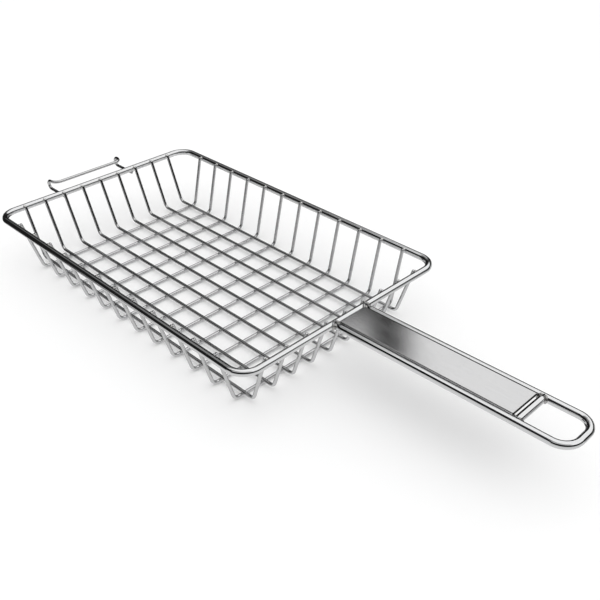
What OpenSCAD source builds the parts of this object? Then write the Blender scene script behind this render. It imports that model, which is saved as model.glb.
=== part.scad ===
// Grill basket: an open-topped basket of crossed wires, welded to a rim wire,
// with a long hairpin handle on one short side and a small wire hook on the other.
// Millimetres, +Z up. The origin is the centre of the footprint, level with the
// undersides of the cross wires, on which the basket stands. X runs along the
// basket and the handle points to +X; the XZ plane is the plane of symmetry.

/* [Basket] */
// Outside length of the rim
rim_length = 360; // [350:1:372]
// Outside width of the rim
rim_width = 226.4; // [222:0.4:230]
// Height of the basket, from the ground to the top of the rim
basket_height = 54; // [48:1:60]
// Corner radius of the rim wire, to its centre line
rim_corner_r = 15.5; // [12:0.5:20]
// Length of the base, between the lines where the end walls rise
base_length = 312.4; // [306:0.4:316]
// Width of the base, between the lines where the side walls rise
base_width = 186; // [184:0.4:190]
// Centre-line radius of the bends between base and walls
wall_bend_r = 6; // [4:0.5:7]

/* [Wires] */
// Diameter of the thin wires of the basket and of the hook
mesh_wire_d = 3; // [2.6:0.1:3.2]
// Diameter of the rim wire
rim_wire_d = 6; // [5:0.5:7]
// Spacing of the wires that run across the basket
cross_pitch = 26; // [24:0.5:26.5]
// Spacing of the wires that run along the basket
long_pitch = 21.2; // [19:0.1:21.6]

/* [Handle] */
// Length of the handle, from the outside of the rim to its far end
handle_length = 205; // [180:1:260]
// Outside width of the handle
handle_width = 41; // [37:0.2:46]
// Diameter of the handle wire
handle_wire_d = 6; // [5:0.5:7]
// Corner radius of the handle's far end, to the wire's centre line
handle_corner_r = 13.2; // [8:0.2:13.6]
// Distance from the outside of the rim to the middle of the cross bar
bar_distance = 162; // [120:1:162]
// Thickness of the grip plate
plate_t = 2; // [1.5:0.1:2.4]
// Upward tilt of the handle, in degrees
handle_tilt = 1; // [0:0.5:2]

/* [Hook] */
// Width of the hook, between the centre lines of its two legs
hook_width = 80; // [60:1:90]
// How far the hook reaches out beyond the rim
hook_reach = 28.5; // [26:0.5:34]
// Height of the hook, between the centre lines of its leg and its bar
hook_rise = 8.5; // [7:0.5:12]

/* [Hidden] */
$fn = 64;
cross_count = 12;
long_count = 9;
weld_color = [0.70, 0.68, 0.64];
mesh_r = mesh_wire_d / 2;
rim_r = rim_wire_d / 2;
handle_r = handle_wire_d / 2;

// Rim: its outer face at the ends, and its centre line
rim_out = rim_length / 2;
rim_x = rim_out - rim_r;
rim_y = rim_width / 2 - rim_r;
rim_z = basket_height - rim_r;

// Mesh: welded wires sink this deep into each other
mesh_sink = 0.15;
// centre lines of the two layers of the base
cross_z = mesh_r;
long_z = 3 * mesh_r - mesh_sink;
// straight pieces are this much smaller in radius than the bends, and reach this far in
straight_thinning = 0.02;
straight_lap = 0.1;
// a wall wire's end tapers from this height, over this length, to this radius
tip_z = basket_height - 1.4;
tip_length = 0.8;
tip_r = mesh_r - 0.7;
// lean of the walls that each layer's wires form
cross_lean = wall_lean(base_width / 2, cross_z, rim_y);
long_lean = wall_lean(base_length / 2, long_z, rim_x);

// Handle: centre lines of its side wires, far end and cross bar
handle_y = handle_width / 2 - handle_r;
handle_end = rim_out + handle_length - handle_r;
handle_run = handle_end - handle_corner_r - rim_x;
bar_x = rim_out + bar_distance;
// the handle's wires and plate overlap what they are fitted to by this much
fit_overlap = 0.02;
// half the length of the rod that shapes the joint with the rim
handle_cutter_half = 40;
// the plate's top is level with the top of the rim, and its lower edges meet the side wires
plate_bottom = basket_height - plate_t;
plate_gap = 1;
plate_y = handle_y - round_hundredth(sqrt(handle_r * handle_r
    - (handle_r - plate_t) * (handle_r - plate_t))) + fit_overlap;
plate_x0 = rim_out + plate_gap;
plate_x1 = bar_x - handle_r - plate_gap;

// Handle weld beads: a square that starts inside the wires, with a round hollow cut
// out of its outer corner
bead_inset = 1.2;
bead_size = 3.8;
bead_hollow_at = 2.75;
bead_hollow_r = 2.1;
bead_z0 = rim_z - 1.9;
bead_z1 = plate_bottom - 0.1;

// Hook: legs under the rim, a turn up and back, and a bar across
hook_sink = 0.05;
hook_turn_r = hook_rise / 2;
hook_corner_r = 8;
hook_turn_x = rim_out + hook_reach - mesh_r - hook_turn_r;
hook_leg_z = rim_z - rim_r - mesh_r + hook_sink;
hook_bar_z = hook_leg_z + hook_rise;
hook_y = hook_width / 2;
// the legs end this far inside the rim's centre line
hook_leg_past_rim = 0.5;
hook_leg = hook_turn_x - rim_x + hook_leg_past_rim;
hook_bead_d = 2;
hook_bead_y = mesh_r + 0.2; // from the leg's centre line
hook_bead_z = rim_z - rim_r - 0.5;
hook_cutter_half = 70;

function round_hundredth(v) = round(v * 100) / 100;

// lean of a wall from the vertical, in degrees: its line starts at the corner of the base
// and passes the rim's centre line at the distance of the two radii
function wall_lean(base_half, wire_z, rim_half) =
    round_hundredth(90 - atan2(rim_z - wire_z, rim_half - base_half)
        - asin((rim_r + mesh_r - mesh_sink) / norm([rim_half - base_half, rim_z - wire_z])));

// place of wire i, counted from 1, in a centred row
function row_place(i, count, pitch) = (i - (count + 1) / 2) * pitch;

// straight piece of wire along local Z
module rod(d, from, to) {
    translate([0, 0, from]) cylinder(h = to - from, d = d);
}

// straight piece of wire along Y at the height of the rim, centred on the XZ plane
module level_rod(x, d, half) {
    translate([x, 0, rim_z]) rotate([90, 0, 0]) rod(d, -half, half);
}

// wire bent in the local XY plane about the origin
module bend(r, d, start_angle, sweep) {
    rotate_extrude(angle = sweep, start = start_angle) translate([r, 0]) circle(d = d);
}

// the children, and their mirror image across the XZ plane
module both_sides() {
    for (m = [0, 1]) mirror([0, m, 0]) children();
}

// wire at the height of the rim that turns a corner: centre lines at x = end_x and
// y = end_y, a run of run_x back along X, and a run along Y to the XZ plane
module corner_wire(d, r, end_x, end_y, run_x) {
    translate([end_x - r, end_y - r, rim_z]) {
        bend(r, d, 0, 90);
        translate([r, 0, 0]) rotate([90, 0, 0]) rod(d, 0, end_y - r);
        translate([0, r, 0]) rotate([0, -90, 0]) rod(d, 0, run_x);
    }
}

// U-shaped wire in the local XY plane: flat base, two bends and two leaning sides
module u_wire(base_half, base_z, lean) {
    bend_reach = wall_bend_r * tan((90 - lean) / 2);
    flat_half = round_hundredth(base_half - bend_reach);
    side_end = round_hundredth((tip_z - base_z) / cos(lean) - bend_reach) + straight_lap;
    straight_r = mesh_r - straight_thinning;
    translate([-flat_half - straight_lap, base_z, 0]) rotate([0, 90, 0])
        cylinder(h = 2 * (flat_half + straight_lap), r = straight_r);
    for (m = [0, 1]) mirror([m, 0, 0]) translate([flat_half, base_z + wall_bend_r, 0]) {
        bend(wall_bend_r, mesh_wire_d, -90, 90 - lean);
        rotate([0, 0, -lean]) translate([wall_bend_r, -straight_lap, 0]) rotate([-90, 0, 0])
            rotate_extrude() polygon([[0, 0], [straight_r, 0], [straight_r, side_end],
                [tip_r, side_end + tip_length], [0, side_end + tip_length]]);
    }
}

// wire across the basket, counted from the hook end
module cross_wire(i) {
    color([0.74, 0.75, 0.77])
    translate([row_place(i, cross_count, cross_pitch), 0, 0])
    rotate([90, 0, 90]) u_wire(base_width / 2, cross_z, cross_lean);
}

// wire along the basket, on top of the cross wires, counted from -Y
module long_wire(i) {
    color([0.68, 0.69, 0.71])
    translate([0, row_place(i, long_count, long_pitch), 0])
    rotate([90, 0, 0]) u_wire(base_length / 2, long_z, long_lean);
}

module rim_wire() {
    color([0.80, 0.81, 0.83])
    for (m = [0, 1]) mirror([m, 0, 0]) both_sides()
        corner_wire(rim_wire_d, rim_corner_r, rim_x, rim_y, rim_x - rim_corner_r);
}

// the handle is drawn level with the rim, then tilted about the rim wire's own centre
// line, so its ends still fit the round of the rim
module tilted() {
    translate([rim_x, 0, rim_z]) rotate([0, -handle_tilt, 0]) translate([-rim_x, 0, -rim_z])
        children();
}

// straight side wire of the handle, on the side of the sign given
module side_wire(side, d) {
    translate([rim_x, side * handle_y, rim_z]) rotate([0, 90, 0]) rod(d, 0, handle_run);
}

// hairpin, with its ends hollowed to fit the rim
module handle_frame() {
    color([0.82, 0.83, 0.85])
    tilted() difference() {
        both_sides()
            corner_wire(handle_wire_d, handle_corner_r, handle_end, handle_y, handle_run);
        level_rod(rim_x, rim_wire_d - 2 * fit_overlap, handle_cutter_half);
    }
}

// bar between the side wires, with its ends hollowed to fit them
module handle_cross_bar() {
    color([0.78, 0.79, 0.81])
    tilted() difference() {
        level_rod(bar_x, handle_wire_d, handle_y);
        side_wire(-1, handle_wire_d - 2 * fit_overlap);
        side_wire(1, handle_wire_d - 2 * fit_overlap);
    }
}

module handle_plate() {
    color([0.62, 0.63, 0.65])
    tilted() translate([plate_x0, -plate_y, plate_bottom])
        cube([plate_x1 - plate_x0, 2 * plate_y, plate_t]);
}

// weld bead in the corner between two wires: a corner fillet in plan, hollow on its
// outer side, that fills the local quadrant x > 0, y > 0
module bead() {
    translate([0, 0, bead_z0]) linear_extrude(height = bead_z1 - bead_z0)
        difference() {
            translate([-bead_inset, -bead_inset]) square([bead_size, bead_size]);
            translate([bead_hollow_at, bead_hollow_at]) circle(r = bead_hollow_r);
        }
}

// beads in the four corners between the rim and the handle's side wires
module handle_welds() {
    color(weld_color)
    tilted() both_sides() for (m = [0, 1])
        difference() {
            translate([rim_out, handle_y, 0]) mirror([0, m, 0])
                translate([0, handle_r, 0]) bead();
            level_rod(rim_x, rim_wire_d, handle_cutter_half);
            side_wire(1, handle_wire_d);
        }
}

// beads in the four corners between the cross bar and the side wires
module bar_welds() {
    color(weld_color)
    tilted() both_sides() for (m = [0, 1])
        difference() {
            translate([bar_x, handle_y - handle_r, 0]) mirror([m, 0, 0])
                translate([handle_r, 0, 0]) mirror([0, 1, 0]) bead();
            level_rod(bar_x, handle_wire_d, handle_y);
            side_wire(1, handle_wire_d);
        }
}

// the +Y half of the hook: half the bar, its corner, the upward turn and the leg
module hook_half() {
    corner_y = hook_y - hook_corner_r;
    translate([hook_corner_r - hook_turn_x, corner_y, hook_bar_z])
        rotate([90, 0, 0]) rod(mesh_wire_d, 0, corner_y);
    translate([-hook_turn_x, corner_y, hook_bar_z])
        bend(hook_corner_r, mesh_wire_d, 0, 90);
    translate([-hook_turn_x, hook_y, hook_leg_z + hook_turn_r])
        rotate([90, 0, 0]) bend(hook_turn_r, mesh_wire_d, 90, 180);
    hook_leg_rod(1);
}

// leg of the hook, on the side of the sign given
module hook_leg_rod(side) {
    translate([-hook_turn_x, side * hook_y, hook_leg_z]) rotate([0, 90, 0])
        rod(mesh_wire_d, 0, hook_leg);
}

module rear_hook() {
    color([0.70, 0.71, 0.73])
    both_sides() hook_half();
}

// a bead on each side of each hook leg, under the rim
module hook_welds() {
    color(weld_color)
    for (side = [-1, 1]) for (flank = [-1, 1])
        difference() {
            translate([-rim_x, side * hook_y + flank * hook_bead_y, hook_bead_z])
                sphere(d = hook_bead_d);
            level_rod(-rim_x, rim_wire_d, hook_cutter_half);
            hook_leg_rod(side);
        }
}

rim_wire();
cross_wire(1);  // cross_wire_01
cross_wire(2);  // cross_wire_02
cross_wire(3);  // cross_wire_03
cross_wire(4);  // cross_wire_04
cross_wire(5);  // cross_wire_05
cross_wire(6);  // cross_wire_06
cross_wire(7);  // cross_wire_07
cross_wire(8);  // cross_wire_08
cross_wire(9);  // cross_wire_09
cross_wire(10);  // cross_wire_10
cross_wire(11);  // cross_wire_11
cross_wire(12);  // cross_wire_12
long_wire(1);  // long_wire_1
long_wire(2);  // long_wire_2
long_wire(3);  // long_wire_3
long_wire(4);  // long_wire_4
long_wire(5);  // long_wire_5
long_wire(6);  // long_wire_6
long_wire(7);  // long_wire_7
long_wire(8);  // long_wire_8
long_wire(9);  // long_wire_9
handle_frame();
handle_plate();
handle_cross_bar();
handle_welds();
bar_welds();
rear_hook();
hook_welds();
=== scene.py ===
import math

import bpy
import numpy as np
from mathutils import Matrix, Vector


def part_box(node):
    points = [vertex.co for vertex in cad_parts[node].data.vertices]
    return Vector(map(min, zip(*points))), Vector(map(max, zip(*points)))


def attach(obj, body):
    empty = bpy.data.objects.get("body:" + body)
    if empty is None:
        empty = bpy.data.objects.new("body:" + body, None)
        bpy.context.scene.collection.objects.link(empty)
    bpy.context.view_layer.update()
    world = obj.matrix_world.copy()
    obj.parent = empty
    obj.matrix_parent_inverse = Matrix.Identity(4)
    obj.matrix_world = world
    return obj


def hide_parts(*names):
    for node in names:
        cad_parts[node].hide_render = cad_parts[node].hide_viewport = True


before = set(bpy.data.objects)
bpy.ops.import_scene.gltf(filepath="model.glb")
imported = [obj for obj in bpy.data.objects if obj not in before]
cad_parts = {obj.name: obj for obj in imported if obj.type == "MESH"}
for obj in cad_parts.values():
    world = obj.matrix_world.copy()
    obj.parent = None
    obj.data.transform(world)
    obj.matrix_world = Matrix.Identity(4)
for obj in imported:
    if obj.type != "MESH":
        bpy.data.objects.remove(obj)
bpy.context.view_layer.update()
RNG = np.random.default_rng(7)
MM = 0.001


# ---------------------------------------------------------------- sizes, all from the CAD frame
def box(n):
    lo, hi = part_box(n)
    return np.array(lo), np.array(hi)


rim_lo, rim_hi = box("rim_wire")
RR = (rim_hi[2] - rim_lo[2]) / 2                      # radius of the rim wire
RIM_X, RIM_Y, RIM_Z = rim_hi[0] - RR, rim_hi[1] - RR, (rim_hi[2] + rim_lo[2]) / 2
RIM_R = 15.5 * MM                                       # corner, to the centre line
c_lo, c_hi = box("cross_wire_01")
MR = (c_hi[0] - c_lo[0]) / 2                          # radius of the mesh wires
CROSS_Z = c_lo[2] + MR
l_lo, l_hi = box("long_wire_1")
LONG_Z = l_lo[2] + MR
BEND_R = 6 * MM
HALF_W, HALF_L = 93 * MM, 156.2 * MM                # where the walls start to rise
SINK = 0.15 * MM
TIP_Z = rim_hi[2] - 1.4 * MM

# the handle is worked out level with the rim and then tilted about the rim's centre line
h_lo, h_hi = box("handle_frame")
b_lo, b_hi = box("handle_cross_bar")
HR = (b_hi[2] - b_lo[2]) / 2
HAND_Y = h_hi[1] - HR
TILT = math.atan2(h_hi[2] - HR - RIM_Z, h_hi[0] - HR - RIM_X)
TC, TS = math.cos(TILT), math.sin(TILT)
HAND_END = RIM_X + math.hypot(h_hi[2] - HR - RIM_Z, h_hi[0] - HR - RIM_X)
HAND_Z = RIM_Z
HAND_C = 13.2 * MM
BAR_X = RIM_X + math.hypot((b_lo[0] + b_hi[0]) / 2 - RIM_X, (b_lo[2] + b_hi[2]) / 2 - RIM_Z)
q_lo, q_hi = box("handle_plate")
PLATE_L = ((q_hi[0] - q_lo[0]) * TC - (q_hi[2] - q_lo[2]) * TS) / (TC**2 - TS**2)
PLATE_T = ((q_hi[2] - q_lo[2]) * TC - (q_hi[0] - q_lo[0]) * TS) / (TC**2 - TS**2)
PLATE_X = RIM_X + (q_lo[0] - RIM_X + HR * TS) / TC
p_lo = np.array([PLATE_X, q_lo[1], HAND_Z + HR - PLATE_T])
p_hi = np.array([PLATE_X + PLATE_L, q_hi[1], HAND_Z + HR])
k_lo, k_hi = box("rear_hook")
HOOK_LEG_Z = k_lo[2] + MR
HOOK_BAR_Z = k_hi[2] - MR
HOOK_Y = k_hi[1] - MR
HOOK_U = (HOOK_BAR_Z - HOOK_LEG_Z) / 2
HOOK_C = 8 * MM
HOOK_X = k_lo[0] + MR + HOOK_U                        # centre of the vertical turn
HOOK_IN = k_hi[0]                                     # inner end of the legs


def lean(b, z0, s):
    return math.pi / 2 - math.atan2(RIM_Z - z0, s - b) - math.asin(
        (RR + MR - SINK) / math.hypot(s - b, RIM_Z - z0)
    )


CROSS_LEAN = lean(HALF_W, CROSS_Z, RIM_Y)
LONG_LEAN = lean(HALF_L, LONG_Z, RIM_X)


# ---------------------------------------------------------------- mesh tools
def make_mesh(name, verts, faces, uvs=None, mat=None):
    me = bpy.data.meshes.new(name)
    me.from_pydata([tuple(v) for v in verts], [], faces)
    me.polygons.foreach_set("use_smooth", [True] * len(me.polygons))
    if uvs is not None:
        layer = me.uv_layers.new(name="UVMap")
        idx = np.zeros(len(me.loops), np.int32)
        me.loops.foreach_get("vertex_index", idx)
        layer.data.foreach_set("uv", np.asarray(uvs, np.float32)[idx].ravel())
    me.validate()
    me.update()
    ob = bpy.data.objects.new(name, me)
    bpy.context.scene.collection.objects.link(ob)
    if mat:
        me.materials.append(mat)
    return ob


def frames(p, up, closed):
    """Tangents and a pair of normals carried along the path without twist."""
    n = len(p)
    if closed:
        t = np.roll(p, -1, 0) - np.roll(p, 1, 0)
    else:
        t = np.gradient(p, axis=0)
    t /= np.linalg.norm(t, axis=1)[:, None]
    a = np.zeros_like(p)
    v = np.array(up, float)
    for i in range(n):
        v = v - t[i] * (v @ t[i])
        v /= np.linalg.norm(v)
        a[i] = v
    return t, a, np.cross(t, a)


def tube(name, p, r, mat, seg=24, closed=False, up=(0, 0, 1), r_end=0.0, shape=None):
    """Round wire along a path. r is one radius or one per point. A rounded cut end takes r_end of path."""
    p = np.asarray(p, float)
    r = np.full(len(p), r) if np.isscalar(r) else np.asarray(r, float)
    if not closed and r_end > 0:
        k = 6
        for end in (0, -1):
            d = p[0] - p[1] if end == 0 else p[-1] - p[-2]
            d /= np.linalg.norm(d)
            base = p[end] - d * r_end
            th = np.linspace(0, math.pi / 2, k + 1)[1:]
            extra = base + d * (np.sin(th) * r_end)[:, None]
            rr = r[end] * (0.45 + 0.55 * np.cos(th))
            if end == 0:
                p = np.vstack([extra[::-1], base[None], p[1:]])
                r = np.concatenate([rr[::-1], [r[0]], r[1:]])
            else:
                p = np.vstack([p[:-1], base[None], extra])
                r = np.concatenate([r[:-1], [r[-1]], rr])
    n = len(p)
    t, a, b = frames(p, up, closed)
    ang = np.arange(seg) * 2 * math.pi / seg
    ring = np.cos(ang)[None, :, None] * a[:, None, :] + np.sin(ang)[None, :, None] * b[:, None, :]
    v = p[:, None, :] + ring * r[:, None, None]
    if shape is not None:
        v = shape(v)
    verts = v.reshape(-1, 3)
    faces = []
    m = n if closed else n - 1
    for i in range(m):
        i0, i1 = i * seg, ((i + 1) % n) * seg
        for k in range(seg):
            k1 = (k + 1) % seg
            faces.append((i0 + k, i0 + k1, i1 + k1, i1 + k))
    s = np.concatenate([[0], np.cumsum(np.linalg.norm(np.diff(p, axis=0), axis=1))])
    uv = np.stack([np.repeat(s, seg), np.tile(ang * r.max(), n)], 1)
    if not closed:
        c0, c1 = len(verts), len(verts) + 1
        verts = np.vstack([verts, v[0].mean(0)[None], v[-1].mean(0)[None]])
        uv = np.vstack([uv, [[0, 0]], [[s[-1], 0]]])
        for k in range(seg):
            k1 = (k + 1) % seg
            faces.append((c0, k1, k))
            faces.append((c1, (n - 1) * seg + k, (n - 1) * seg + k1))
    return make_mesh(name, verts, faces, uv, mat)


def tilted(ob):
    """Turn a finished handle mesh by the handle's tilt, about the rim's centre line."""
    me = ob.data
    v = np.zeros(len(me.vertices) * 3)
    me.vertices.foreach_get("co", v)
    v = v.reshape(-1, 3)
    dx, dz = v[:, 0] - RIM_X, v[:, 2] - RIM_Z
    v[:, 0], v[:, 2] = RIM_X + dx * TC - dz * TS, RIM_Z + dx * TS + dz * TC
    me.vertices.foreach_set("co", v.ravel())
    me.update()
    return ob


def line(a, b, step=4 * MM):
    a, b = np.array(a, float), np.array(b, float)
    n = max(2, int(np.linalg.norm(b - a) / step) + 1)
    return a + (b - a) * np.linspace(0, 1, n)[:, None]


def arc(c, r, u, w, a0, a1, n):
    """Arc about c from angle a0 to a1 (degrees) in the plane of u and w."""
    t = np.radians(np.linspace(a0, a1, n))[:, None]
    return np.array(c, float) + r * (np.cos(t) * np.array(u, float) + np.sin(t) * np.array(w, float))


def join_path(*parts):
    out = [parts[0]]
    for q in parts[1:]:
        out.append(q[1:] if np.linalg.norm(q[0] - out[-1][-1]) < 1e-7 else q)
    return np.vstack(out)


def u_path(half, z0, ln):
    """Centre line (s, z) of a U-shaped mesh wire, from one tip to the other."""
    tan_l = BEND_R * math.tan((math.pi / 2 - ln) / 2)
    flat = half - tan_l
    side = (TIP_Z - z0) / math.cos(ln) - tan_l + 0.8 * MM
    c = np.array([flat, z0 + BEND_R])
    ang = np.linspace(-math.pi / 2, -ln, 15)
    bend = c + BEND_R * np.stack([np.cos(ang), np.sin(ang)], 1)
    w = np.array([math.sin(ln), math.cos(ln)])
    n = max(3, int(side / (3 * MM)))
    wall = bend[-1] + w * np.linspace(0, side, n + 1)[1:, None]
    m = int(flat / (3 * MM))
    base = np.stack([np.linspace(0, flat, m + 1)[:-1], np.full(m, z0)], 1)
    right = np.vstack([base, bend, wall])
    left = right[1:][::-1] * np.array([-1, 1])
    return np.vstack([left, right])


# ---------------------------------------------------------------- node tools
class Nodes:
    def __init__(self, tree):
        self.t = tree

    def add(self, kind, **props):
        n = self.t.nodes.new(kind)
        ins = props.pop("ins", {})
        for k, v in props.items():
            setattr(n, k, v)
        for k, v in ins.items():
            self.put(n.inputs[k], v)
        return n

    def put(self, sock, v):
        if isinstance(v, bpy.types.NodeSocket):
            self.t.links.new(v, sock)
        else:
            sock.default_value = v

    def math(self, op, a, b=None, c=None, clamp=False):
        n = self.t.nodes.new("ShaderNodeMath")
        n.operation = op
        n.use_clamp = clamp
        for i, v in enumerate((a, b, c)):
            if v is not None:
                self.put(n.inputs[i], v)
        return n.outputs[0]

    def dot(self, v, d):
        n = self.t.nodes.new("ShaderNodeVectorMath")
        n.operation = "DOT_PRODUCT"
        self.put(n.inputs[0], v)
        self.put(n.inputs[1], tuple(d))
        return n.outputs["Value"]

    def smooth(self, v, lo, hi, a=0.0, b=1.0):
        n = self.t.nodes.new("ShaderNodeMapRange")
        n.interpolation_type = "SMOOTHSTEP"
        self.put(n.inputs["Value"], v)
        self.put(n.inputs["From Min"], lo)
        self.put(n.inputs["From Max"], hi)
        self.put(n.inputs["To Min"], a)
        self.put(n.inputs["To Max"], b)
        return n.outputs["Result"]

    def mix(self, fac, a, b):
        n = self.t.nodes.new("ShaderNodeMix")
        n.data_type = "FLOAT"
        self.put(n.inputs[0], fac)
        self.put(n.inputs[2], a)
        self.put(n.inputs[3], b)
        return n.outputs[0]

    def mixc(self, fac, a, b, blend="MIX"):
        n = self.t.nodes.new("ShaderNodeMix")
        n.data_type = "RGBA"
        n.blend_type = blend
        self.put(n.inputs[0], fac)
        self.put(n.inputs[6], a)
        self.put(n.inputs[7], b)
        return n.outputs[2]

    def noise(self, vec, scale, detail=3.0, rough=0.5, distortion=0.0):
        n = self.t.nodes.new("ShaderNodeTexNoise")
        self.put(n.inputs["Vector"], vec)
        n.inputs["Scale"].default_value = scale
        n.inputs["Detail"].default_value = detail
        n.inputs["Roughness"].default_value = rough
        n.inputs["Distortion"].default_value = distortion
        return n.outputs["Fac"]

    def stretch(self, vec, scale):
        n = self.t.nodes.new("ShaderNodeMapping")
        self.put(n.inputs["Vector"], vec)
        n.inputs["Scale"].default_value = scale
        return n.outputs["Vector"]

    def bump(self, height, strength, distance, normal=None):
        n = self.t.nodes.new("ShaderNodeBump")
        n.inputs["Strength"].default_value = strength
        n.inputs["Distance"].default_value = distance
        self.put(n.inputs["Height"], height)
        if normal is not None:
            self.put(n.inputs["Normal"], normal)
        return n.outputs["Normal"]


def new_material(name):
    m = bpy.data.materials.new(name)
    m.use_nodes = True
    t = m.node_tree
    t.nodes.clear()
    N = Nodes(t)
    out = N.add("ShaderNodeOutputMaterial")
    b = N.add("ShaderNodeBsdfPrincipled")
    t.links.new(b.outputs[0], out.inputs[0])
    co = N.add("ShaderNodeTexCoord")
    return m, N, b, co


def wire_steel(name, tone, rough, line_scale, fine=1.0):
    """Polished drawn stainless wire: drawing lines along the wire, faint handling smudges and small scuffs."""
    m, N, b, co = new_material(name)
    uv, obj = co.outputs["UV"], co.outputs["Object"]
    drawn = N.noise(N.stretch(uv, (60.0, line_scale, 1.0)), 1.0, 4.0, 0.65)
    drawn2 = N.noise(N.stretch(uv, (260.0, line_scale * 2.2, 1.0)), 1.0, 2.0, 0.5)
    smudge = N.noise(obj, 55.0, 5.0, 0.6, 0.6)
    cloud = N.noise(obj, 14.0, 3.0, 0.5)
    scuff = N.smooth(N.noise(N.stretch(obj, (900.0, 900.0, 900.0)), 1.0, 2.0, 0.5), 0.66, 0.74)
    c = N.mixc(N.smooth(cloud, 0.3, 0.7), (tone * 0.965, tone * 0.97, tone * 0.985, 1), (tone, tone, tone * 0.995, 1))
    c = N.mixc(N.smooth(drawn, 0.35, 0.75), c, (tone * 0.93, tone * 0.935, tone * 0.945, 1))
    c = N.mixc(N.math("MULTIPLY", scuff, 0.35), c, (tone * 0.72, tone * 0.72, tone * 0.73, 1))
    N.put(b.inputs["Base Color"], c)
    b.inputs["Metallic"].default_value = 1.0
    r = N.math("ADD", rough, N.math("MULTIPLY", N.smooth(smudge, 0.35, 0.75), 0.055))
    r = N.math("ADD", r, N.math("MULTIPLY", N.smooth(drawn, 0.3, 0.8), 0.05))
    r = N.math("ADD", r, N.math("MULTIPLY", scuff, 0.12))
    N.put(b.inputs["Roughness"], r)
    h = N.math("ADD", N.math("MULTIPLY", drawn, 0.7), N.math("MULTIPLY", drawn2, 0.3))
    n1 = N.bump(h, 0.10 * fine, 0.00006)
    n2 = N.bump(smudge, 0.05 * fine, 0.0002, n1)
    N.put(b.inputs["Normal"], n2)
    return m


def brushed_plate(name):
    """Satin sheet: fine mottled grain, with faint long strokes from finishing."""
    m, N, b, co = new_material(name)
    obj = co.outputs["Object"]
    g1 = N.noise(N.stretch(obj, (34.0, 5200.0, 400.0)), 1.0, 4.0, 0.6)
    g2 = N.noise(N.stretch(obj, (110.0, 2300.0, 400.0)), 1.0, 3.0, 0.55)
    g3 = N.smooth(N.noise(N.stretch(obj, (60.0, 3100.0, 400.0)), 1.0, 2.0, 0.5), 0.62, 0.74)
    cloud = N.noise(obj, 38.0, 4.0, 0.6, 0.4)
    mott = N.noise(obj, 760.0, 4.0, 0.65)
    c = N.mixc(N.smooth(g1, 0.3, 0.72), (0.69, 0.69, 0.695, 1), (0.745, 0.745, 0.75, 1))
    c = N.mixc(N.math("MULTIPLY", N.smooth(g2, 0.4, 0.7), 0.5), c, (0.71, 0.705, 0.70, 1))
    c = N.mixc(N.math("MULTIPLY", g3, 0.25), c, (0.52, 0.52, 0.53, 1))
    c = N.mixc(N.math("MULTIPLY", N.smooth(mott, 0.5, 0.8), 0.34), c, (0.47, 0.47, 0.48, 1))
    N.put(b.inputs["Base Color"], c)
    b.inputs["Metallic"].default_value = 1.0
    r = N.math("ADD", 0.07, N.math("MULTIPLY", N.smooth(cloud, 0.3, 0.75), 0.03))
    r = N.math("ADD", r, N.math("MULTIPLY", g1, 0.04))
    N.put(b.inputs["Roughness"], r)
    b.inputs["Anisotropic"].default_value = 0.25
    h = N.math("ADD", N.math("MULTIPLY", g1, 0.6), N.math("MULTIPLY", g2, 0.4))
    h = N.math("SUBTRACT", h, N.math("MULTIPLY", g3, 0.4))
    n1 = N.bump(h, 0.07, 0.00008)
    n2 = N.bump(mott, 0.03, 0.00012, n1)
    N.put(b.inputs["Normal"], n2)
    return m


def cut_edge_painted_shade(name):
    """Painted shade on the rolled-over edge and sheared end of the sheet: a near-black colour standing in for the
    dark reflection and shadow gap there, with fine drag marks.
    """
    m, N, b, co = new_material(name)
    obj = co.outputs["Object"]
    drag = N.noise(N.stretch(obj, (3200.0, 3200.0, 300.0)), 1.0, 3.0, 0.6)
    stain = N.noise(obj, 240.0, 3.0, 0.55)
    # near-black base colour: painted shade, not the sheet's own tone
    c = N.mixc(N.smooth(drag, 0.35, 0.7), (0.012, 0.012, 0.0115, 1), (0.034, 0.0335, 0.0325, 1))
    c = N.mixc(N.smooth(stain, 0.5, 0.8), c, (0.022, 0.020, 0.018, 1))
    N.put(b.inputs["Base Color"], c)
    b.inputs["Metallic"].default_value = 0.7
    N.put(b.inputs["Roughness"], N.math("ADD", 0.42, N.math("MULTIPLY", stain, 0.15)))
    N.put(b.inputs["Normal"], N.bump(drag, 0.3, 0.00008))
    return m


def weld_metal(name, tone=0.66):
    """Weld metal: satin, grainy, straw and grey heat tint in patches."""
    m, N, b, co = new_material(name)
    obj = co.outputs["Object"]
    grain = N.noise(obj, 1500.0, 4.0, 0.6)
    patch = N.noise(obj, 320.0, 3.0, 0.55, 0.5)
    c = N.mixc(N.smooth(patch, 0.35, 0.7), (tone, tone * 0.985, tone * 0.95, 1), (tone * 0.80, tone * 0.81, tone * 0.84, 1))
    c = N.mixc(N.smooth(grain, 0.55, 0.8), c, (tone * 0.6, tone * 0.58, tone * 0.56, 1))
    N.put(b.inputs["Base Color"], c)
    b.inputs["Metallic"].default_value = 1.0
    N.put(b.inputs["Roughness"], N.math("ADD", 0.16, N.math("MULTIPLY", N.smooth(patch, 0.3, 0.8), 0.16)))
    n1 = N.bump(grain, 0.25, 0.00012)
    n2 = N.bump(patch, 0.20, 0.00025, n1)
    N.put(b.inputs["Normal"], n2)
    return m


HEAVY = wire_steel("polished_wire_heavy", 0.86, 0.055, 3000.0)
THIN = wire_steel("polished_wire_thin", 0.71, 0.06, 4200.0)
PLATE = brushed_plate("brushed_plate")
# near-black painted shade for the plate's rounded top edge and its end face at the cross bar
EDGE_PAINTED_SHADE = cut_edge_painted_shade("sheared_edge_painted_shade")
WELD = weld_metal("weld_metal", 0.58)
WELD_FINE = weld_metal("weld_metal_fine", 0.46)
WELD_RIM = weld_metal("weld_metal_rim", 0.86)


def finish_piece(ob, slot, *nodes):
    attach(ob, "root")
    if nodes:
        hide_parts(*nodes)
    return ob


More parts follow.
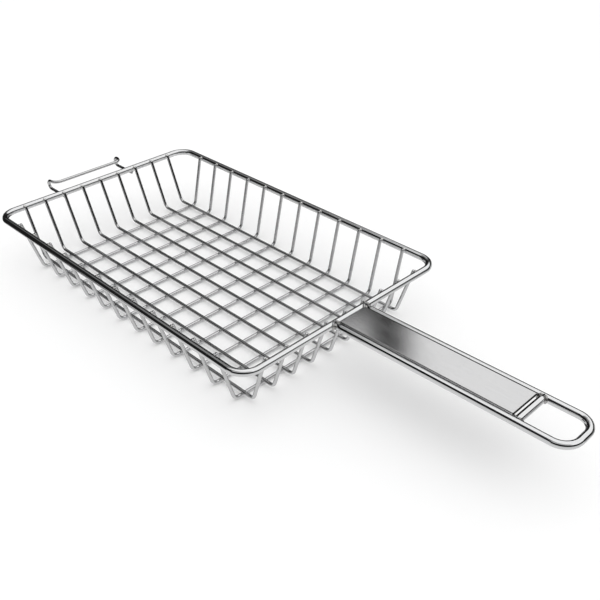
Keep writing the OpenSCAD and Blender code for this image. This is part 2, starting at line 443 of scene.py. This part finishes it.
# ---------------------------------------------------------------- rim wire
ax, ay = RIM_X - RIM_R, RIM_Y - RIM_R
X, Y, Z = (1, 0, 0), (0, 1, 0), (0, 0, 1)
rim = join_path(
    line((RIM_X, -ay, RIM_Z), (RIM_X, ay, RIM_Z)),
    arc((ax, ay, RIM_Z), RIM_R, X, Y, 0, 90, 22),
    line((ax, RIM_Y, RIM_Z), (-ax, RIM_Y, RIM_Z)),
    arc((-ax, ay, RIM_Z), RIM_R, X, Y, 90, 180, 22),
    line((-RIM_X, ay, RIM_Z), (-RIM_X, -ay, RIM_Z)),
    arc((-ax, -ay, RIM_Z), RIM_R, X, Y, 180, 270, 22),
    line((-ax, -RIM_Y, RIM_Z), (ax, -RIM_Y, RIM_Z)),
    arc((ax, -ay, RIM_Z), RIM_R, X, Y, 270, 360, 22),
)[:-1]
finish_piece(tube("rim_wire_steel", rim, RR, HEAVY, 32, True), "heavy_wire", "rim_wire")

# ---------------------------------------------------------------- mesh wires
cross_x, long_y = [], []
for i in range(1, 13):
    n = f"cross_wire_{i:02d}"
    lo, hi = box(n)
    x = (lo[0] + hi[0]) / 2
    cross_x.append(x)
    q = u_path(HALF_W, CROSS_Z, CROSS_LEAN)
    p = np.stack([np.full(len(q), x), q[:, 0], q[:, 1]], 1)
    finish_piece(tube(n + "_steel", p, MR, THIN, 20, r_end=0.8 * MM, up=X), "mesh_wire", n)
for j in range(1, 10):
    n = f"long_wire_{j}"
    lo, hi = box(n)
    y = (lo[1] + hi[1]) / 2
    long_y.append(y)
    q = u_path(HALF_L, LONG_Z, LONG_LEAN)
    p = np.stack([q[:, 0], np.full(len(q), y), q[:, 1]], 1)
    finish_piece(tube(n + "_steel", p, MR, THIN, 20, r_end=0.8 * MM, up=Y), "mesh_wire", n)

# ---------------------------------------------------------------- handle
hc = (HAND_END - HAND_C, HAND_Y - HAND_C, HAND_Z)
hd = (HAND_END - HAND_C, -HAND_Y + HAND_C, HAND_Z)
start_x = RIM_X + RR + 1.5 * MM
hair = join_path(
    line((start_x, HAND_Y, HAND_Z), (hc[0], HAND_Y, HAND_Z)),
    arc(hc, HAND_C, X, Y, 90, 0, 26),
    line((HAND_END, hc[1], HAND_Z), (HAND_END, hd[1], HAND_Z), 1.5 * MM),
    arc(hd, HAND_C, X, Y, 0, -90, 26),
    line((hd[0], -HAND_Y, HAND_Z), (start_x, -HAND_Y, HAND_Z)),
)


def cope_handle(v):
    """The two cut ends follow the round of the rim wire."""
    for e in (0, -1):
        dz = v[e, :, 2] - RIM_Z
        v[e, :, 0] = RIM_X + np.sqrt(np.maximum(RR**2 - dz**2, 0)) - 0.03 * MM
    return v


finish_piece(tilted(tube("handle_frame_steel", hair, HR, HEAVY, 32, shape=cope_handle)), "heavy_wire", "handle_frame")


def cope_bar(v):
    for e, s in ((0, -1), (-1, 1)):
        dz = v[e, :, 2] - HAND_Z
        v[e, :, 1] = s * (HAND_Y - np.sqrt(np.maximum(HR**2 - dz**2, 0)) + 0.03 * MM)
    return v


bar = line((BAR_X, -HAND_Y + HR + 1.5 * MM, HAND_Z), (BAR_X, HAND_Y - HR - 1.5 * MM, HAND_Z), 1.5 * MM)
bar = np.vstack([[BAR_X, -HAND_Y + HR, HAND_Z], bar, [BAR_X, HAND_Y - HR, HAND_Z]])
finish_piece(tilted(tube("handle_cross_bar_steel", bar, HR, HEAVY, 32, up=Z, shape=cope_bar)), "heavy_wire", "handle_cross_bar")


def plate_mesh():
    """Sheet with rolled-over upper edges, burnished sides and small corner radii."""
    t = p_hi[2] - p_lo[2]
    e_top, e, rc = 0.8 * MM, 0.35 * MM, 1.2 * MM
    cx, cy = (p_lo[0] + p_hi[0]) / 2, (p_lo[1] + p_hi[1]) / 2
    hx, hy = (p_hi[0] - p_lo[0]) / 2, (p_hi[1] - p_lo[1]) / 2

    def outline(inset):
        r = rc - inset
        pts = []
        for sx, sy, a0 in ((1, 1, 0), (-1, 1, 90), (-1, -1, 180), (1, -1, 270)):
            for a in np.radians(np.linspace(a0, a0 + 90, 7)):
                pts.append((cx + sx * (hx - rc) + r * math.cos(a), cy + sy * (hy - rc) + r * math.sin(a)))
        # even points along the straight edges
        out = []
        n = len(pts)
        for i in range(n):
            a, b = np.array(pts[i]), np.array(pts[(i + 1) % n])
            d = np.linalg.norm(b - a)
            k = max(1, int(round(d / (4 * MM)))) if d > 2 * MM else 1
            for j in range(k):
                out.append(a + (b - a) * j / k)
        return np.array(out)

    rings = []
    for a in np.radians((90, 67.5, 45, 22.5, 0)):
        rings.append((outline(e_top * (1 - math.cos(a))), p_hi[2] - e_top * (1 - math.sin(a))))
    for a in np.radians((0, 22.5, 45, 67.5, 90)):
        rings.append((outline(e * (1 - math.cos(a))), p_lo[2] + e * (1 - math.sin(a))))
    n = len(rings[0][0])
    verts, faces = [], []
    for o, z in rings:
        verts += [(q[0], q[1], z) for q in o]
    for i in range(len(rings) - 1):
        for k in range(n):
            k1 = (k + 1) % n
            faces.append((i * n + k, (i + 1) * n + k, (i + 1) * n + k1, i * n + k1))
    faces.append(tuple(range(n)))
    faces.append(tuple(reversed(range((len(rings) - 1) * n, len(rings) * n))))
    ob = make_mesh("handle_plate_brushed", verts, faces, None, PLATE)
    me = ob.data
    # The rounded top edge and the end face towards the cross bar take the second material: near-black painted shade
    # standing in for the dark reflection and shadow gap along them.
    me.materials.append(EDGE_PAINTED_SHADE)
    for f in me.polygons:
        if len(f.vertices) > 4:
            f.use_smooth = False
        elif 0.25 < f.normal.z < 0.9 or (abs(f.normal.z) < 0.8 and f.normal.x > 0.5):
            f.material_index = 1
    return ob


finish_piece(tilted(plate_mesh()), "grip_plate", "handle_plate")


# ---------------------------------------------------------------- weld beads
def bead(p, r, seed):
    """Overlapping ripples along a weld, thinner at its two ends."""
    g = np.random.default_rng(seed)
    p = np.asarray(p)
    s = np.concatenate([[0], np.cumsum(np.linalg.norm(np.diff(p, axis=0), axis=1))])
    pitch = 0.85 * MM
    ph = (s / pitch) % 1.0
    rip = 1 + 0.13 * (np.sqrt(np.maximum(1 - (ph - 0.35) ** 2 / 0.43, 0)) - 0.75)
    slow = 1 + 0.07 * np.interp(s, np.linspace(0, s[-1], 7), g.standard_normal(7))
    u = s / s[-1]
    taper = np.clip(np.minimum(u, 1 - u) / 0.10, 0, 1) ** 0.5
    return r * rip * slow * (0.35 + 0.65 * taper)


def merge(name, obs, mat):
    verts, faces, uvs, k = [], [], [], 0
    for o in obs:
        me = o.data
        v = np.zeros(len(me.vertices) * 3)
        me.vertices.foreach_get("co", v)
        verts.append(v.reshape(-1, 3))
        faces += [tuple(i + k for i in f.vertices) for f in me.polygons]
        k += len(me.vertices)
        bpy.data.objects.remove(o)
        bpy.data.meshes.remove(me)
    return make_mesh(name, np.vstack(verts), faces, None, mat)


def saddle_bead(name, cross, own, centre, sx, sy, seed, r=1.05 * MM, a=78):
    """Bead in the corner between two equal crossing wires, one along Y and one along X. The arguments cross and own
    are not used.
    """
    psi = np.radians(np.linspace(-a, a, 80))
    off = 0.42 * MM
    R = HR
    p = np.stack([
        centre[0] + sx * (R * np.cos(psi) + off * 0.707),
        centre[1] + sy * (R * np.cos(psi) + off * 0.707),
        centre[2] + (R + 0.10 * MM) * np.sin(psi)], 1)
    return tube(name, p, bead(p, r, seed), None, 14, up=(sx, -sy, 0))


ws = []
for k, (s, t) in enumerate(((1, 1), (1, -1), (-1, 1), (-1, -1))):
    ws.append(saddle_bead(f"tmp{k}", None, None, (RIM_X, s * HAND_Y, RIM_Z), 1, t, 20 + k, 1.15 * MM))
finish_piece(tilted(merge("handle_welds_bead", ws, WELD)), "weld_bead", "handle_welds")
ws = []
for k, (s, t) in enumerate(((1, 1), (1, -1), (-1, 1), (-1, -1))):
    ws.append(saddle_bead(f"tmp{k}", None, None, (BAR_X, s * HAND_Y, HAND_Z), t, -s, 30 + k, 0.95 * MM, 74))
finish_piece(tilted(merge("bar_welds_bead", ws, WELD)), "weld_bead", "bar_welds")

# ---------------------------------------------------------------- rear hook
hk = join_path(
    line((HOOK_IN, HOOK_Y, HOOK_LEG_Z), (HOOK_X, HOOK_Y, HOOK_LEG_Z), 2 * MM),
    arc((HOOK_X, HOOK_Y, HOOK_LEG_Z + HOOK_U), HOOK_U, X, Z, 270, 90, 28),
    arc((HOOK_X, HOOK_Y - HOOK_C, HOOK_BAR_Z), HOOK_C, X, Y, 90, 0, 20),
    line((HOOK_X + HOOK_C, HOOK_Y - HOOK_C, HOOK_BAR_Z), (HOOK_X + HOOK_C, -HOOK_Y + HOOK_C, HOOK_BAR_Z), 3 * MM),
    arc((HOOK_X, -HOOK_Y + HOOK_C, HOOK_BAR_Z), HOOK_C, X, Y, 0, -90, 20),
    arc((HOOK_X, -HOOK_Y, HOOK_LEG_Z + HOOK_U), HOOK_U, X, Z, 90, 270, 28),
    line((HOOK_X, -HOOK_Y, HOOK_LEG_Z), (HOOK_IN, -HOOK_Y, HOOK_LEG_Z), 2 * MM),
)
finish_piece(tube("rear_hook_steel", hk, MR, THIN, 20, up=Y, r_end=0.6 * MM), "mesh_wire", "rear_hook")
ws = []
for k, (s, t) in enumerate(((1, 1), (1, -1), (-1, 1), (-1, -1))):
    xs = np.linspace(-1.7, 0.9, 30) * MM
    zz = RIM_Z - np.sqrt((RR + 0.2 * MM) ** 2 - xs**2)
    p = np.stack([-RIM_X + xs, np.full(30, s * HOOK_Y + t * (MR + 0.1 * MM)), zz], 1)
    ws.append(tube(f"tmp{k}", p, bead(p, 0.6 * MM, 40 + k), None, 12, up=Y))
finish_piece(merge("hook_welds_bead", ws, WELD), "weld_bead", "hook_welds")


# ---------------------------------------------------------------- resistance welds of the mesh
def blobs(name, items, mat, nu=14, nv=8):
    """Small lens-shaped spots of fused metal. items: centre, three axes already scaled."""
    verts, faces, k = [], [], 0
    th = np.linspace(0, math.pi, nv + 1)[1:-1]
    ph = np.arange(nu) * 2 * math.pi / nu
    for c, a, b, d in items:
        a, b, d, c = (np.array(v, float) for v in (a, b, d, c))
        g = 1 + 0.06 * RNG.standard_normal(3)
        v = [c + d * g[2]]
        for t in th:
            for f in ph:
                v.append(c + a * g[0] * math.sin(t) * math.cos(f) + b * g[1] * math.sin(t) * math.sin(f) + d * g[2] * math.cos(t))
        v.append(c - d * g[2])
        verts += v
        last = len(v) - 1
        for i in range(nu):
            i1 = (i + 1) % nu
            faces.append((k, k + 1 + i, k + 1 + i1))
            for j in range(len(th) - 1):
                r0, r1 = k + 1 + j * nu, k + 1 + (j + 1) * nu
                faces.append((r0 + i, r1 + i, r1 + i1, r0 + i1))
            r0 = k + 1 + (len(th) - 1) * nu
            faces.append((r0 + i, k + last, r0 + i1))
        k += len(v)
    return make_mesh(name, verts, faces, None, mat)


spots = []
zc = (CROSS_Z + LONG_Z) / 2
for x in cross_x:
    for y in long_y:
        spots.append(((x, y, zc), (1.45 * MM, 0, 0), (0, 1.45 * MM, 0), (0, 0, 0.45 * MM)))
finish_piece(blobs("mesh_spot_welds", spots, WELD_FINE), "weld_bead")

spots = []


def rim_spot(kind, at, s):
    ln = LONG_LEAN if kind == "long" else CROSS_LEAN
    half, z0, rim_s = (HALF_L, LONG_Z, RIM_X) if kind == "long" else (HALF_W, CROSS_Z, RIM_Y)
    w = np.array([math.sin(ln), math.cos(ln)])             # up the wall
    n = np.array([math.cos(ln), -math.sin(ln)])            # from the wire towards the rim
    b = np.array([half, z0])
    foot = b + w * ((np.array([rim_s, RIM_Z]) - b) @ w)    # nearest point of the wire's centre line to the rim's
    c = foot + n * (MR - SINK / 2)
    if kind == "long":
        m = lambda q: np.array([s * q[0], 0, q[1]])
        side, ctr = np.array([0, 1, 0]), np.array([s * c[0], at, c[1]])
    else:
        m = lambda q: np.array([0, s * q[0], q[1]])
        side, ctr = np.array([1, 0, 0]), np.array([at, s * c[0], c[1]])
    spots.append((ctr, m(n) * 1.2 * MM, side * 1.85 * MM, m(w) * 2.2 * MM))


for s in (1, -1):
    for x in cross_x:
        rim_spot("cross", x, s)
    for y in long_y:
        rim_spot("long", y, s)
finish_piece(blobs("rim_spot_welds", spots, WELD_RIM, 16, 10), "weld_bead")


# ---------------------------------------------------------------- floor
def floor():
    m, N, b, co = new_material("pale_floor")
    n = N.noise(co.outputs["Object"], 2.2, 4.0, 0.5)
    N.put(b.inputs["Base Color"], N.mixc(n, (0.945, 0.945, 0.945, 1), (0.955, 0.955, 0.955, 1)))
    b.inputs["Roughness"].default_value = 0.9
    b.inputs["Specular IOR Level"].default_value = 0.0
    s = 14.0
    ob = make_mesh("studio_floor", [(-s, -s, 0), (s, -s, 0), (s, s, 0), (-s, s, 0)], [(0, 1, 2, 3)], None, m)
    ob.visible_glossy = False


floor()

# ---------------------------------------------------------------- studio surroundings
world = bpy.data.worlds.new("studio")
bpy.context.scene.world = world
world.use_nodes = True
wt = world.node_tree
wt.nodes.clear()
W = Nodes(wt)
wout = W.add("ShaderNodeOutputWorld")
wbg = W.add("ShaderNodeBackground")
wt.links.new(wbg.outputs[0], wout.inputs[0])
geo = W.add("ShaderNodeNewGeometry")
inc = W.add("ShaderNodeVectorMath", operation="SCALE")
wt.links.new(geo.outputs["Incoming"], inc.inputs[0])
inc.inputs["Scale"].default_value = -1.0
DIR = inc.outputs[0]


SOFT_ANGLE = 53.0


def unit(v):
    v = np.array(v, float)
    return v / np.linalg.norm(v)


def azel(az, el):
    a, e = math.radians(az), math.radians(el)
    return np.array([math.cos(e) * math.cos(a), math.cos(e) * math.sin(a), math.sin(e)])


def card(az, el, half_w, half_h, soft, roll=0.0):
    """1 inside a rectangular card seen in that direction, 0 outside. Sizes in degrees."""
    c = azel(az, el)
    a = unit(np.cross((0, 0, 1), c)) if abs(c[2]) < 0.999 else np.array([1.0, 0, 0])
    b = np.cross(c, a)
    r = math.radians(roll)
    a, b = a * math.cos(r) + b * math.sin(r), b * math.cos(r) - a * math.sin(r)
    dc = W.math("MAXIMUM", W.dot(DIR, c), 0.02)
    p = W.math("ABSOLUTE", W.math("ARCTANGENT", W.math("DIVIDE", W.dot(DIR, a), dc)))
    q = W.math("ABSOLUTE", W.math("ARCTANGENT", W.math("DIVIDE", W.dot(DIR, b), dc)))
    sw = math.radians(soft)
    fp = W.smooth(p, math.radians(half_w) - sw, math.radians(half_w) + sw, 1.0, 0.0)
    fq = W.smooth(q, math.radians(half_h) - sw, math.radians(half_h) + sw, 1.0, 0.0)
    front = W.smooth(W.dot(DIR, c), 0.02, 0.06)
    return W.math("MULTIPLY", W.math("MULTIPLY", fp, fq), front)


def paint(val, mask, level):
    return W.mix(mask, val, level)


# a dark room with one large soft light above and behind the object, over a pale table
P = azel(60, 75)
sep = W.add("ShaderNodeSeparateXYZ")
wt.links.new(DIR, sep.inputs[0])
UPZ = sep.outputs["Z"]
val = W.math("ADD", 0.012, 0.0)
val = paint(val, W.smooth(W.dot(DIR, P), math.cos(math.radians(SOFT_ANGLE + 1.5)), math.cos(math.radians(SOFT_ANGLE - 1.5))), 0.98)
table = W.smooth(UPZ, -0.12, -0.65, 0.60, 0.70)
# the light's near edge, a dark upright strip behind the object and a dim stretch beside it
val = paint(val, W.smooth(W.dot(DIR, unit((0, 2.246, 1))), 0.02, -0.02), 0.012)
val = paint(val, card(161, 39, 15, 8, 3), 0.17)
val = paint(val, card(173, 51, 15, 7, 3), 0.24)
val = paint(val, card(-60, 54, 34, 13, 6), 0.50)
val = paint(val, card(129.9, 40, 1.5, 14, 1.2), 0.012)
val = paint(val, W.smooth(UPZ, -0.03, -0.10), table)
# pale board at the near side, just above the table
val = paint(val, card(-113, -2, 10, 10, 2.5), 0.68)
# darker stretches of the table: in front on the left, behind the object, and behind on the right
val = paint(val, card(-158, -12, 16, 17, 3), 0.012)
val = paint(val, card(135, -25, 30, 25, 5), 0.02)
val = paint(val, card(58, -12, 14, 12, 4), 0.13)

lp = W.add("ShaderNodeLightPath")
cam_or_diff = W.math("MAXIMUM", lp.outputs["Is Camera Ray"], lp.outputs["Is Diffuse Ray"])
final = W.mix(lp.outputs["Is Diffuse Ray"], W.mix(cam_or_diff, val, 0.98), 1.05)
rgb = W.add("ShaderNodeCombineColor")
for i in range(3):
    wt.links.new(final, rgb.inputs[i])
wt.links.new(rgb.outputs[0], wbg.inputs["Color"])
wbg.inputs["Strength"].default_value = 1.0


def area(name, loc, target, size, energy):
    l = bpy.data.lights.new(name, "AREA")
    l.shape = "SQUARE"
    l.size = size
    l.energy = energy
    o = bpy.data.objects.new(name, l)
    o.location = loc
    o.rotation_mode = "QUATERNION"
    o.rotation_quaternion = (Vector(target) - Vector(loc)).to_track_quat("-Z", "Y")
    bpy.context.scene.collection.objects.link(o)
    o.visible_camera = False
    o.visible_glossy = False
    return o


area("key_softbox", (0.5, -0.2, 1.6), (0.05, 0, 0), 1.4, 2.2)

# ---------------------------------------------------------------- camera
UNIT = 26 * MM
CAM = dict(f=792.6835, el=0.6426, az=-0.7934, roll=-0.0039, cx=5.6728, cy=0.0756, D=25.7377, u0=323.9758, v0=347.2506)
cd = np.array([math.cos(CAM["el"]) * math.cos(CAM["az"]), math.cos(CAM["el"]) * math.sin(CAM["az"]), math.sin(CAM["el"])])
pos = (np.array([CAM["cx"], CAM["cy"], 0]) + CAM["D"] * cd) * UNIT + np.array([0, 0, 3 * MM])
fwd = -cd
right = unit(np.cross(fwd, (0, 0, 1)))
upv = np.cross(right, fwd)
cr, sr = math.cos(CAM["roll"]), math.sin(CAM["roll"])
r2, u2 = cr * right + sr * upv, -sr * right + cr * upv
cam_data = bpy.data.cameras.new("main_camera")
cam = bpy.data.objects.new("main_camera", cam_data)
bpy.context.scene.collection.objects.link(cam)
rot = Matrix(((r2[0], u2[0], -fwd[0]), (r2[1], u2[1], -fwd[1]), (r2[2], u2[2], -fwd[2])))
cam.rotation_mode = "QUATERNION"
cam.location = pos
cam.rotation_quaternion = rot.to_quaternion()
cam_data.sensor_width = 36.0
cam_data.lens = CAM["f"] / 600 * 36
cam_data.clip_start, cam_data.clip_end = 0.01, 60
SHIFT_X, SHIFT_Y = (300 - CAM["u0"]) / 600, (CAM["v0"] - 300) / 600
cam_data.shift_x, cam_data.shift_y = SHIFT_X, SHIFT_Y
# The lens shift belongs to this one viewpoint. Once the camera stands elsewhere it fades to none.
mark = bpy.data.objects.new("main_viewpoint", None)
bpy.context.scene.collection.objects.link(mark)
mark.location = pos
for path, amount in (("shift_x", SHIFT_X), ("shift_y", SHIFT_Y)):
    fc = cam_data.driver_add(path)
    for mod in list(fc.modifiers):
        fc.modifiers.remove(mod)
    drv = fc.driver
    drv.type = "AVERAGE"
    v = drv.variables.new()
    v.type = "LOC_DIFF"
    v.targets[0].id = cam
    v.targets[1].id = mark
    fc.keyframe_points.clear()
    fc.keyframe_points.add(4)
    for kp, (a, b) in zip(fc.keyframe_points, ((0.0, amount), (0.03, amount), (0.06, 0.0), (100.0, 0.0))):
        kp.co = (a, b)
        kp.handle_left, kp.handle_right = (a - 0.0001, b), (a + 0.0001, b)
        kp.interpolation = "LINEAR"
    fc.update()
bpy.context.scene.camera = cam

vs = bpy.context.scene.view_settings
vs.view_transform = "Standard"
vs.look = "None"
vs.exposure = 0.0
vs.gamma = 1.0

bpy.context.view_layer.update()
